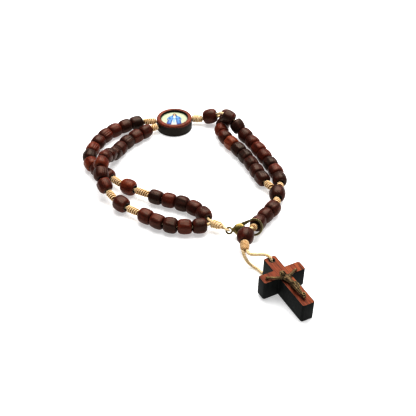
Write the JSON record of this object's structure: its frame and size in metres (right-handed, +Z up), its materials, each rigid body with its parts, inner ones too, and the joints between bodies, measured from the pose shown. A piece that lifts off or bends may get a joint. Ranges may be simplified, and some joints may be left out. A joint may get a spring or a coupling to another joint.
{
  "type": "rosary bracelet",
  "caption": "Prayer bracelet of wooden barrel beads on knotted cord, lying as a closed loop, with a picture medal, a lobster clasp and a hanging cross with a figure.",
  "frame": {"origin": "on the surface that the bracelet lies on, under the middle of its outline", "axes": "+Z up, +Y from the cross's side of the loop towards the medal, +X towards the strand with the junction bead"},
  "size_m": [0.083, 0.1222, 0.0118],
  "materials": {
    "bead_wood": "satin",
    "medal_wood": "satin",
    "cross_wood": "satin",
    "cord": "matte",
    "picture": "gloss",
    "bronze": "antique",
    "corpus_metal": "dull"
  },
  "bodies": {
    "root": {"medal_case": "medal_wood", "medal_picture": "picture", "beads_left_outer": "bead_wood", "beads_left_inner": "bead_wood", "beads_right_inner": "bead_wood", "beads_right_outer": "bead_wood", "beads_front_inner": "bead_wood", "beads_front_outer": "bead_wood", "beads_pendant": "bead_wood", "big_bead_left_outer": "bead_wood", "big_bead_left_inner": "bead_wood", "big_bead_medal": "bead_wood", "big_bead_junction": "bead_wood", "big_bead_pendant": "bead_wood", "knot_medal_outer": "cord", "knot_before_outer": "cord", "knot_after_outer": "cord", "knot_medal_inner": "cord", "knot_before_inner": "cord", "knot_after_inner": "cord", "knot_medal_right": "cord", "knot_right_inner": "cord", "knot_right_outer": "cord", "knot_junction": "cord", "knot_in_ring": "cord", "knot_end": "cord", "knot_clasp": "cord", "thread_left_outer": "cord", "thread_left_inner": "cord", "thread_right_inner": "cord", "thread_right_outer": "cord", "thread_pendant": "cord", "thread_clasp": "cord", "clasp_body": "bronze", "cross_body": "cross_wood", "corpus": "corpus_metal", "cross_cord": "cord"},
    "lever": {"clasp_lever": "bronze"}
  },
  "joints": [
    {"name": "lever_hinge", "type": "hinge", "parent": "root", "child": "lever", "pos_m": [0.01932, -0.0176, 0.00429], "axis": [-0.1646, -0.7766, 0.6081], "range_deg": [-14, 0], "stiffness_Nm_per_rad": 0.002, "springref_deg": 5.73}
  ]
}
